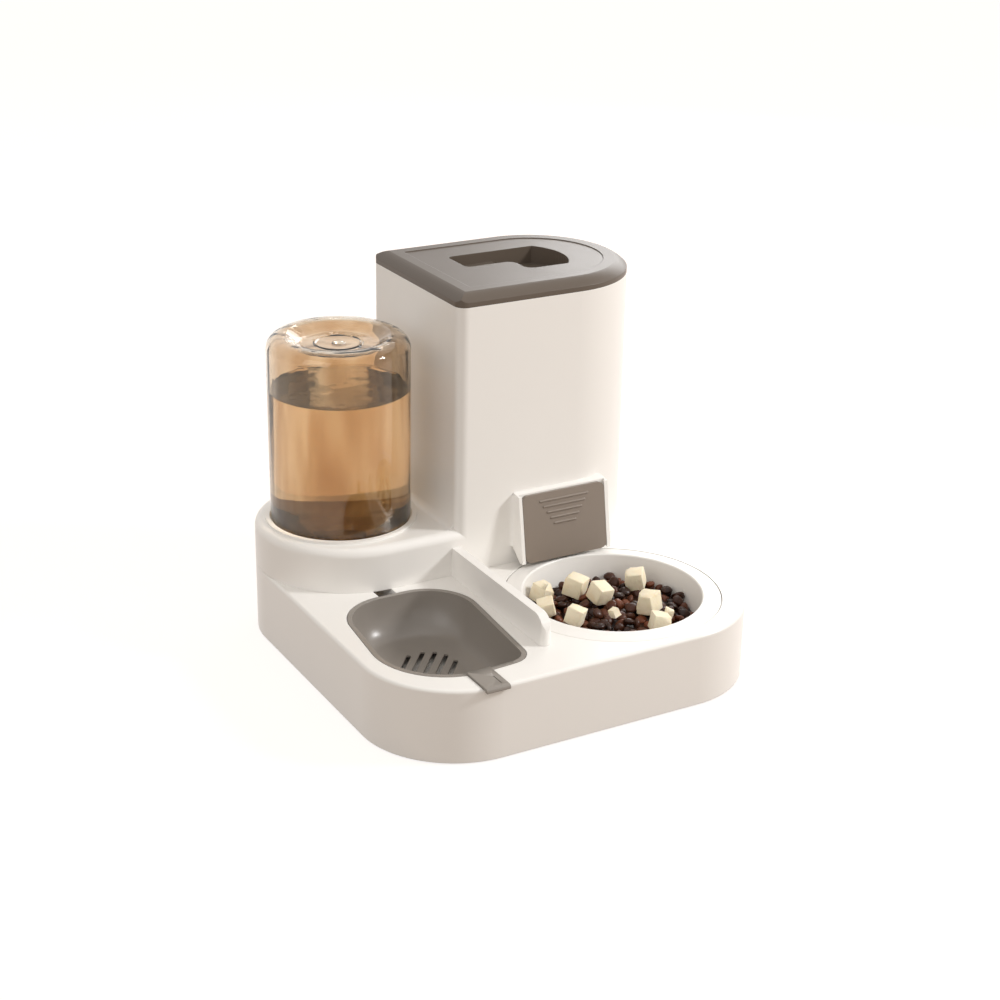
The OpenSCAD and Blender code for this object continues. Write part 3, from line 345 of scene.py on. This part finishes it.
def dark_rubber(name, base):
    """Matt rubber with a dusty grain."""
    mat, tree, shader = new_material(name)
    where = place_of(tree)
    dust = cloud(tree, where, 220.0, 4.0, 0.65)
    dusty = span(tree, dust, 0.0, 1.0, 0.4, 0.75)
    tree.links.new(blend_colours(tree, dusty, base, shaded(base, 2.2)), shader.inputs["Base Color"])
    shader.inputs["Roughness"].default_value = 0.82
    bumps(tree, shader, [(cloud(tree, where, 1400.0, 3.0), 0.0001, 0.6)])
    return mat


def bright_steel(name, base):
    """Drawn and turned steel with fine streaks."""
    mat, tree, shader = new_material(name)
    mapping = tree.nodes.new("ShaderNodeMapping")
    mapping.inputs["Scale"].default_value = (1.0, 1.0, 14.0)
    tree.links.new(place_of(tree), mapping.inputs["Vector"])
    streak = cloud(tree, mapping.outputs["Vector"], 420.0, 3.0)
    tree.links.new(blend_colours(tree, streak, shaded(base, 0.9), shaded(base, 1.05)),
                   shader.inputs["Base Color"])
    shader.inputs["Metallic"].default_value = 1.0
    tree.links.new(span(tree, streak, 0.22, 0.36), shader.inputs["Roughness"])
    bumps(tree, shader, [(streak, 0.00004, 0.3)])
    return mat


def dry_kibble(name, dark, light):
    """Baked pellets: each has its own tone, a pitted crust and a thin oily shine."""
    mat, tree, shader = new_material(name)
    where = place_of(tree)
    tone = tree.nodes.new("ShaderNodeAttribute")
    tone.attribute_name = "pellet_tone"
    crust = cloud(tree, where, 420.0, 4.0, 0.6)
    body = blend_colours(tree, tone.outputs["Fac"], dark, light)
    tree.links.new(blend_colours(tree, span(tree, crust, 0.0, 0.5, 0.55, 0.85), body, light),
                   shader.inputs["Base Color"])
    tree.links.new(span(tree, crust, 0.24, 0.5), shader.inputs["Roughness"])
    shader.inputs["Specular IOR Level"].default_value = 0.28
    bumps(tree, shader, [(crust, 0.0006, 0.5), (cloud(tree, where, 1600.0, 2.0), 0.0001, 0.4)])
    return mat


def dried_treat(name, base):
    """Freeze-dried cubes: open pores, chalky faces and toasted blotches."""
    mat, tree, shader = new_material(name)
    where = place_of(tree)
    blotch = cloud(tree, where, 95.0, 3.0)
    pores = tree.nodes.new("ShaderNodeTexVoronoi")
    pores.inputs["Scale"].default_value = 700.0
    tree.links.new(where, pores.inputs["Vector"])
    pits = span(tree, pores.outputs["Distance"], 0.0, 1.0, 0.05, 0.45)
    toasted = (base[0] * 0.86, base[1] * 0.72, base[2] * 0.52)
    tree.links.new(blend_colours(tree, span(tree, blotch, 0.0, 0.55, 0.5, 0.8), base, toasted),
                   shader.inputs["Base Color"])
    shader.inputs["Roughness"].default_value = 0.85
    shader.inputs["Subsurface Weight"].default_value = 0.15
    shader.inputs["Subsurface Radius"].default_value = (0.003, 0.002, 0.001)
    bumps(tree, shader, [(cloud(tree, where, 300.0, 3.0), 0.0006, 0.5), (pits, 0.0003, 0.35)])
    return mat


# Mesh helpers

def piece_from(bm, name, material, body, stands_for=()):
    """Turns a bmesh into a piece that rides on a body and stands for CAD nodes."""
    mesh = bpy.data.meshes.new(name)
    bm.to_mesh(mesh)
    bm.free()
    mesh.materials.append(material)
    obj = bpy.data.objects.new(name, mesh)
    bpy.context.scene.collection.objects.link(obj)
    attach(obj, body)
    if stands_for:
        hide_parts(*stands_for)
    return obj


def smooth(obj, angle_deg=35.0):
    """Smooth shading, with creases where faces meet more sharply than the angle."""
    obj.data.polygons.foreach_set("use_smooth", [True] * len(obj.data.polygons))
    obj.data.set_sharp_from_angle(angle=math.radians(angle_deg))
    return obj


def merged_copy(node, near=0.00001):
    """A CAD node's mesh as one closed bmesh."""
    bm = bmesh.new()
    bm.from_mesh(NODES[node].data)
    bmesh.ops.remove_doubles(bm, verts=bm.verts, dist=near)
    return bm


def turned(corners, steps):
    """Spins a profile of (radius, height, rounding) corners about the vertical axis."""
    bm = bmesh.new()
    points = [bm.verts.new((r, 0.0, z)) for r, z, _ in corners]
    for a, b in zip(points, points[1:]):
        bm.edges.new((a, b))
    for point, (_, _, rounding) in zip(points, corners):
        if rounding:
            bmesh.ops.bevel(bm, geom=[point], offset=rounding, offset_type="OFFSET",
                            segments=6, profile=0.5, material=-1, affect="VERTICES")
    bmesh.ops.spin(bm, geom=bm.verts[:] + bm.edges[:], cent=(0, 0, 0), axis=(0, 0, 1),
                   dvec=(0, 0, 0), angle=math.tau, steps=steps, use_merge=True)
    bmesh.ops.remove_doubles(bm, verts=bm.verts, dist=0.000002)
    bmesh.ops.recalc_face_normals(bm, faces=bm.faces)
    return bm


def middle(node):
    """Centre of a CAD node's box."""
    low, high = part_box(node)
    return (low + high) / 2


def paint(material, *nodes):
    for name in nodes:
        slots = NODES[name].data.materials
        for i in range(len(slots)):
            slots[i] = material


# Operators, one for each piece or group of like pieces

class FEEDER_OT_white_mouldings(bpy.types.Operator):
    """Finish the white base, tower, ramp, bowl and cap"""
    bl_idname = "feeder.white_mouldings"
    bl_label = "White mouldings"

    def execute(self, context):
        looks = context.scene.feeder_finishes
        white = moulded_plastic("WhitePlastic", looks.white, looks.white_roughness, looks.soft_edge)
        paint(white, "base_shell", "upper_body", "hopper_ramp", "food_bowl", "bottle_cap",
              "valve_plunger")
        return {"FINISHED"}


class FEEDER_OT_taupe_mouldings(bpy.types.Operator):
    """Finish the lid, its plug and the gate"""
    bl_idname = "feeder.taupe_mouldings"
    bl_label = "Taupe mouldings"

    def execute(self, context):
        looks = context.scene.feeder_finishes
        taupe = moulded_plastic("TaupePlastic", looks.taupe, looks.taupe_roughness, looks.soft_edge,
                                shine=0.3)
        paint(taupe, "lid", "lid_plug")
        # The gate takes the lighter copy of the lid's taupe, painted light on its front
        paint(moulded_plastic("GatePlastic", looks.gate, looks.taupe_roughness, looks.rib_edge),
              "outlet_gate")
        return {"FINISHED"}


class FEEDER_OT_water_tray(bpy.types.Operator):
    """Build the lift-out water tray with its smooth bowl"""
    bl_idname = "feeder.water_tray"
    bl_label = "Water tray"

    def execute(self, context):
        looks = context.scene.feeder_finishes
        grey = moulded_plastic("GreyPlastic", looks.grey, looks.grey_roughness, looks.soft_edge)
        tray = piece_from(merged_copy("water_tray"), "tray_shell", grey, STAND,
                          ["water_tray"])
        smooth(tray, 30.0)
        return {"FINISHED"}


class FEEDER_OT_bottle(bpy.types.Operator):
    """Build the clear bottle and the water in it"""
    bl_idname = "feeder.bottle"
    bl_label = "Bottle and water"

    def execute(self, context):
        looks = context.scene.feeder_finishes
        form = context.scene.feeder_bottle
        low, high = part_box("bottle")
        axis = middle("bottle")
        radius = (high.x - low.x) / 2
        wall = form.wall
        bottom, top = low.z, high.z
        punt = top - form.punt_depth
        inner = radius - wall
        bore = form.neck_radius - wall
        dish = form.punt_radius
        ring = dish * RING_SHARE
        # Corners from the mouth up the outside to the middle of the end, then back down the inside
        outside = [(form.neck_radius, bottom, 0.0006), (form.neck_radius, form.neck_height, 0.002),
                   (radius, form.shoulder_height, 0.006), (radius, top, form.end_round),
                   (dish, top, 0.0015), (dish - DISH_LEAN, punt + DISH_LIP, 0.002),
                   (dish - DISH_FLAT, punt, 0.001), (ring + RING_HALF, punt, 0.0004),
                   (ring, punt + DISH_LIP, 0.0005), (ring - RING_HALF, punt, 0.0004),
                   (NUB_FOOT, punt, 0.0005), (NUB_SIDE, punt + NUB_RISE, 0.0005),
                   (0.0, punt + NUB_TOP, 0)]
        inside = [(0.0, punt - wall, 0), (dish - 0.010, punt - wall, 0.002),
                  (dish + 0.001, top - wall, 0.0015), (inner, top - wall, form.end_round - wall),
                  (inner, form.shoulder_height + wall / 2, 0.006),
                  (bore, form.neck_height + wall, 0.002), (bore, bottom, 0.0006)]
        shell = turned(outside + inside + [outside[0]], form.steps)
        bmesh.ops.translate(shell, verts=shell.verts, vec=(axis.x, axis.y, 0.0))
        clear = clear_plastic("ClearPlastic", looks.clear, 1.5)
        bottle = piece_from(shell, "bottle_shell", clear, STAND, ["bottle"])
        smooth(bottle, 40.0)
        wet = inner + wall * WET_SHARE
        wet_bore = bore + wall * WET_SHARE
        start = bottom + WATER_START
        rise = form.water_height
        water = turned([(0.0, start, 0), (wet_bore, start, 0.001),
                        (wet_bore, form.neck_height + wall, 0.002),
                        (wet, form.shoulder_height + wall / 2, 0.006), (wet, rise + RIM_CLIMB, 0),
                        (inner - RIM_WIDTH, rise, 0.0012), (0.0, rise, 0)], form.steps)
        bmesh.ops.translate(water, verts=water.verts, vec=(axis.x, axis.y, 0.0))
        liquid = clear_plastic("Water", looks.water, 1.33)
        filling = piece_from(water, "water_in_bottle", liquid, STAND, ["bottle_water"])
        smooth(filling, 40.0)
        return {"FINISHED"}


class FEEDER_OT_treats(bpy.types.Operator):
    """Build the dried treat cubes that lie on the kibble"""
    bl_idname = "feeder.treats"
    bl_label = "Treat cubes"

    def execute(self, context):
        food = context.scene.feeder_food
        bm = merged_copy("treat_cubes")
        bmesh.ops.dissolve_limit(bm, angle_limit=math.radians(2.0), verts=bm.verts[:],
                                 edges=bm.edges[:])
        chance = random.Random(food.seed + 2)
        for chunk in loose_parts(bm):
            chop(bm, chunk, chance)
        bmesh.ops.dissolve_degenerate(bm, dist=SHORT_EDGE, edges=bm.edges[:])
        chunks = loose_parts(bm)
        reach = [max((v.co - chunk[0].co).length for v in chunk) for chunk in chunks]
        for chunk, size in zip(chunks, reach):
            edges = list(dict.fromkeys(e for v in chunk for e in v.link_edges))
            bmesh.ops.bevel(bm, geom=edges, offset=food.treat_round * size / max(reach),
                            offset_type="OFFSET", segments=3, profile=0.5, material=-1,
                            affect="EDGES", clamp_overlap=True)
        bmesh.ops.triangulate(bm, faces=[f for f in bm.faces if len(f.verts) > 4])
        bmesh.ops.subdivide_edges(bm, edges=bm.edges[:], cuts=1, use_grid_fill=True)
        for vert in bm.verts:
            worn = (noise.noise(vert.co * 130.0) * WORN_COARSE
                    + noise.noise(vert.co * 420.0) * WORN_FINE)
            vert.co -= vert.normal * (WORN_ALL + worn)
        treats = piece_from(bm, "treats_on_kibble", dried_treat("DriedTreat", food.treat), STAND,
                            ["treat_cubes"])
        smooth(treats, 60.0)
        return {"FINISHED"}


def loose_parts(bm):
    """The vertices of each separate solid in a bmesh, in an order that never changes."""
    bm.verts.index_update()
    seen = set()
    parts = []
    for first in bm.verts:
        if first.index in seen:
            continue
        seen.add(first.index)
        part = [first]
        for vert in part:
            for link in vert.link_edges:
                other = link.other_vert(vert)
                if other.index not in seen:
                    seen.add(other.index)
                    part.append(other)
        parts.append(sorted(part, key=lambda v: v.index))
    return parts


def chop(bm, verts, chance):
    """Cuts corners off one cube, as a knife leaves them."""
    centre = sum((v.co for v in verts), Vector()) / len(verts)
    corners = chance.sample(sorted((v.co - centre for v in verts), key=tuple), CUTS)
    parts = list(verts)
    for corner in corners:
        lean = Vector(chance.uniform(-CUT_LEAN, CUT_LEAN) for _ in range(3))
        way = (corner.normalized() + lean).normalized()
        reach = corner.length * chance.uniform(CUT_NEAR, CUT_FAR)
        faces = list(dict.fromkeys(f for v in parts if v.is_valid for f in v.link_faces))
        edges = list(dict.fromkeys(e for f in faces for e in f.edges))
        geom = [v for v in parts if v.is_valid] + edges + faces
        cut = bmesh.ops.bisect_plane(bm, geom=geom, dist=0.00001, plane_co=centre + way * reach,
                                     plane_no=way, clear_outer=True)
        rim = [e for e in cut["geom_cut"] if isinstance(e, bmesh.types.BMEdge)]
        if rim:
            bmesh.ops.contextual_create(bm, geom=rim)
        fresh = [v for v in cut["geom_cut"] if isinstance(v, bmesh.types.BMVert)]
        parts = [v for v in parts if v.is_valid] + fresh


class FEEDER_OT_kibble(bpy.types.Operator):
    """Fill the bowl with pellets, each dropped into the lowest free place"""
    bl_idname = "feeder.kibble"
    bl_label = "Kibble"

    def execute(self, context):
        food = context.scene.feeder_food
        treats = bpy.data.objects.get("treats_on_kibble")
        if treats is None:
            raise RuntimeError("the treats come before the kibble, which lies round them")
        solid = bmesh.new()
        solid.from_mesh(treats.data)
        guard = BVHTree.FromBMesh(solid)
        solid.free()
        low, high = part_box("kibble_heap")
        centre = (low + high) / 2
        bowl = (high.x - low.x) / 2
        ball = (food.pellet_length + food.pellet_width + food.pellet_height) / 6 * CLOSE
        places = drop_pellets(food, guard, centre, bowl, low.z, high.z, ball)
        bm = packed_core(centre, ball * food.layers)
        tone = bm.verts.layers.float.new("pellet_tone")
        chance = random.Random(food.seed + 1)
        for place in places:
            turn = Euler((chance.gauss(0, 0.6), chance.gauss(0, 0.6), chance.uniform(0, math.tau)))
            girth = chance.uniform(0.9, 1.08)
            form = Matrix.Diagonal((food.pellet_length * girth, food.pellet_width * girth,
                                    food.pellet_height * chance.uniform(0.88, 1.1), 1.0))
            matrix = Matrix.Translation(place) @ turn.to_matrix().to_4x4() @ form
            made = bmesh.ops.create_uvsphere(bm, u_segments=10, v_segments=7, radius=0.5,
                                             matrix=matrix)
            shade = chance.random() ** 1.7
            for vert in made["verts"]:
                vert[tone] = shade
        for vert in bm.verts:
            vert.co += vert.normal * noise.noise(vert.co * 330.0) * 0.0007
        crust = dry_kibble("DryKibble", food.kibble_dark, food.kibble_light)
        kibble = piece_from(bm, "kibble_pile", crust, STAND, ["kibble_heap"])
        smooth(kibble, 70.0)
        return {"FINISHED"}


def packed_core(centre, depth):
    """The heap's form, sunk by a depth, as the dark bed that the loose pellets lie on."""
    bm = merged_copy("kibble_heap")
    floor = min(v.co.z for v in bm.verts)
    for vert in bm.verts:
        vert.co.z = max(floor, vert.co.z - depth)
        vert.co.x = centre.x + (vert.co.x - centre.x) * 0.98
        vert.co.y = centre.y + (vert.co.y - centre.y) * 0.98
    bmesh.ops.remove_doubles(bm, verts=bm.verts, dist=0.00001)
    return bm


def drop_pellets(food, guard, centre, bowl, floor, top, ball):
    """Centres of pellets that lie on the core up to the heap's crown, lowest place first."""
    chance = random.Random(food.seed)
    fillet = BOWL_FILLET
    bend = fillet - ball
    reach = bowl - ball
    placed = np.zeros((0, 3))
    places = []
    missed = 0
    while missed < MISSES:
        best = None
        for _ in range(food.tries):
            out = reach * math.sqrt(chance.random())
            way = chance.uniform(0, math.tau)
            x, y = out * math.cos(way), out * math.sin(way)
            past = min(max(out - (bowl - fillet), 0.0), bend)
            crown = top - CROWN_RISE * (out / bowl) ** 2
            z = max(floor + fillet - math.sqrt(bend ** 2 - past ** 2), crown - ball * food.layers)
            if len(placed):
                gap = (placed[:, 0] - x) ** 2 + (placed[:, 1] - y) ** 2
                near = gap < (2 * ball) ** 2
                if near.any():
                    resting = placed[near, 2] + np.sqrt((2 * ball) ** 2 - gap[near])
                    z = max(z, float(resting.max()))
            if z + ball * TOUCH > crown or (best is not None and z >= best.z):
                continue
            spot = Vector((centre.x + x, centre.y + y, z))
            hit, facing, _, gap_to = guard.find_nearest(spot)
            if gap_to < ball * TOUCH or (spot - hit).dot(facing) < 0:
                continue
            best = spot
        if best is None:
            missed += 1
            continue
        places.append(best)
        placed = np.vstack([placed, (best.x - centre.x, best.y - centre.y, best.z)])
    return places


class FEEDER_OT_small_parts(bpy.types.Operator):
    """Finish the seals, feet and screws, and build the valve's spring"""
    bl_idname = "feeder.small_parts"
    bl_label = "Small parts"

    def execute(self, context):
        looks = context.scene.feeder_finishes
        paint(silicone("Silicone", looks.seal), "lid_seal", "cap_gasket", "valve_seal")
        paint(dark_rubber("DarkRubber", looks.rubber), "rubber_foot_1", "rubber_foot_2",
              "rubber_foot_3", "rubber_foot_4")
        steel = bright_steel("BrightSteel", looks.steel)
        paint(steel, "body_screws")
        coil = piece_from(merged_copy("valve_spring"), "valve_coil", steel, STAND,
                          ["valve_spring"])
        smooth(coil, 40.0)
        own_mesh(coil)
        return {"FINISHED"}


class FEEDER_OT_stage(bpy.types.Operator):
    """Lay the floor, hang the lamps and set the camera"""
    bl_idname = "feeder.stage"
    bl_label = "Stage"

    def execute(self, context):
        stage = context.scene.feeder_stage
        lay_floor(stage)
        light_world(stage)
        for name, place, width, height, power in LAMPS:
            hang_lamp(name, place, width, height, getattr(stage, power))
        set_camera(stage)
        context.scene.view_settings.view_transform = "Standard"
        return {"FINISHED"}


def seen_directly(tree):
    """One where the camera, a reflection or a see-through piece looks at the surface."""
    path = tree.nodes.new("ShaderNodeLightPath")
    first = tree.nodes.new("ShaderNodeMath")
    first.operation = "MAXIMUM"
    both = tree.nodes.new("ShaderNodeMath")
    both.operation = "MAXIMUM"
    tree.links.new(path.outputs["Is Camera Ray"], first.inputs[0])
    tree.links.new(path.outputs["Is Glossy Ray"], first.inputs[1])
    tree.links.new(first.outputs["Value"], both.inputs[0])
    tree.links.new(path.outputs["Is Transmission Ray"], both.inputs[1])
    return both.outputs["Value"]


def lay_floor(stage):
    bm = bmesh.new()
    bmesh.ops.create_grid(bm, x_segments=1, y_segments=1, size=14.0)
    mesh = bpy.data.meshes.new("Floor")
    bm.to_mesh(mesh)
    bm.free()
    mat, tree, shader = new_material("PaleFloor")
    fleck = cloud(tree, place_of(tree), 3.0, 1.0)
    pale = blend_colours(tree, fleck, shaded(stage.floor, 0.995), shaded(stage.floor, 1.005))
    tree.links.new(pale, shader.inputs["Base Color"])
    shader.inputs["Roughness"].default_value = 0.9
    shader.inputs["Specular IOR Level"].default_value = 0.1
    shader.inputs["Emission Color"].default_value = (1.0, 1.0, 1.0, 1.0)
    tree.links.new(span(tree, seen_directly(tree), 0.0, stage.floor_glow),
                   shader.inputs["Emission Strength"])
    mesh.materials.append(mat)
    floor = bpy.data.objects.new("Floor", mesh)
    bpy.context.scene.collection.objects.link(floor)


def light_world(stage):
    world = bpy.data.worlds.new("Studio")
    bpy.context.scene.world = world
    world.use_nodes = True
    tree = world.node_tree
    tree.nodes.clear()
    soft = tree.nodes.new("ShaderNodeBackground")
    soft.inputs["Color"].default_value = (*stage.sky, 1.0)
    soft.inputs["Strength"].default_value = stage.sky_strength
    plain = tree.nodes.new("ShaderNodeBackground")
    plain.inputs["Color"].default_value = (1.0, 1.0, 1.0, 1.0)
    mix = tree.nodes.new("ShaderNodeMixShader")
    out = tree.nodes.new("ShaderNodeOutputWorld")
    tree.links.new(seen_directly(tree), mix.inputs["Fac"])
    tree.links.new(soft.outputs["Background"], mix.inputs[1])
    tree.links.new(plain.outputs["Background"], mix.inputs[2])
    tree.links.new(mix.outputs["Shader"], out.inputs["Surface"])


def hang_lamp(name, place, width, height, power):
    """A rectangular soft lamp that points at the feeder's middle."""
    data = bpy.data.lights.new(name, "AREA")
    data.shape = "RECTANGLE"
    data.size = width
    data.size_y = height
    data.energy = power
    lamp = bpy.data.objects.new(name, data)
    bpy.context.scene.collection.objects.link(lamp)
    lamp.location = place
    aim = Vector(LAMP_TARGET) - Vector(place)
    lamp.rotation_euler = aim.to_track_quat("-Z", "Y").to_euler()


def set_camera(stage):
    """Stands the camera where the photograph was taken from."""
    pitch, yaw, roll = stage.camera_pitch, stage.camera_yaw, stage.camera_roll
    level = math.cos(pitch)
    ahead = Vector((math.sin(yaw) * level, math.cos(yaw) * level, -math.sin(pitch)))
    right = Vector((math.cos(yaw), -math.sin(yaw), 0.0))
    up = right.cross(ahead)
    across = right * math.cos(roll) + up * math.sin(roll)
    upward = up * math.cos(roll) - right * math.sin(roll)
    data = bpy.data.cameras.new("Camera")
    data.sensor_width = 36.0
    data.lens = stage.lens
    data.clip_start = 0.05
    data.clip_end = 60.0
    camera = bpy.data.objects.new("Camera", data)
    bpy.context.scene.collection.objects.link(camera)
    turn = Matrix((across, upward, -ahead)).transposed()
    camera.matrix_world = Matrix.Translation(stage.camera_place) @ turn.to_4x4()
    bpy.context.scene.camera = camera


STEPS = (FEEDER_OT_stage, FEEDER_OT_white_mouldings, FEEDER_OT_taupe_mouldings,
         FEEDER_OT_water_tray, FEEDER_OT_bottle, FEEDER_OT_treats, FEEDER_OT_kibble,
         FEEDER_OT_small_parts)


class FEEDER_PT_sidebar(bpy.types.Panel):
    """The feeder's steps and sizes"""
    bl_label = "Pet feeder"
    bl_idname = "FEEDER_PT_sidebar"
    bl_space_type = "VIEW_3D"
    bl_region_type = "UI"
    bl_category = "Feeder"

    def draw(self, context):
        for step in STEPS:
            self.layout.operator(step.bl_idname)
        for group in GROUPS:
            box = self.layout.box()
            values = getattr(context.scene, group)
            for name in values.bl_rna.properties.keys():
                if name not in ("rna_type", "name"):
                    box.prop(values, name)


GROUPS = {"feeder_finishes": FeederFinishes, "feeder_food": FeederFood,
          "feeder_bottle": FeederBottle, "feeder_stage": FeederStage}
CLASSES = (*GROUPS.values(), *STEPS, FEEDER_PT_sidebar)


def register():
    for cls in CLASSES:
        bpy.utils.register_class(cls)
    for name, group in GROUPS.items():
        setattr(bpy.types.Scene, name, PointerProperty(type=group))


def unregister():
    for name in GROUPS:
        delattr(bpy.types.Scene, name)
    for cls in reversed(CLASSES):
        bpy.utils.unregister_class(cls)


def main():
    register()
    for step in STEPS:
        group, call = step.bl_idname.split(".")
        getattr(getattr(bpy.ops, group), call)()


if __name__ == "__main__":
    main()
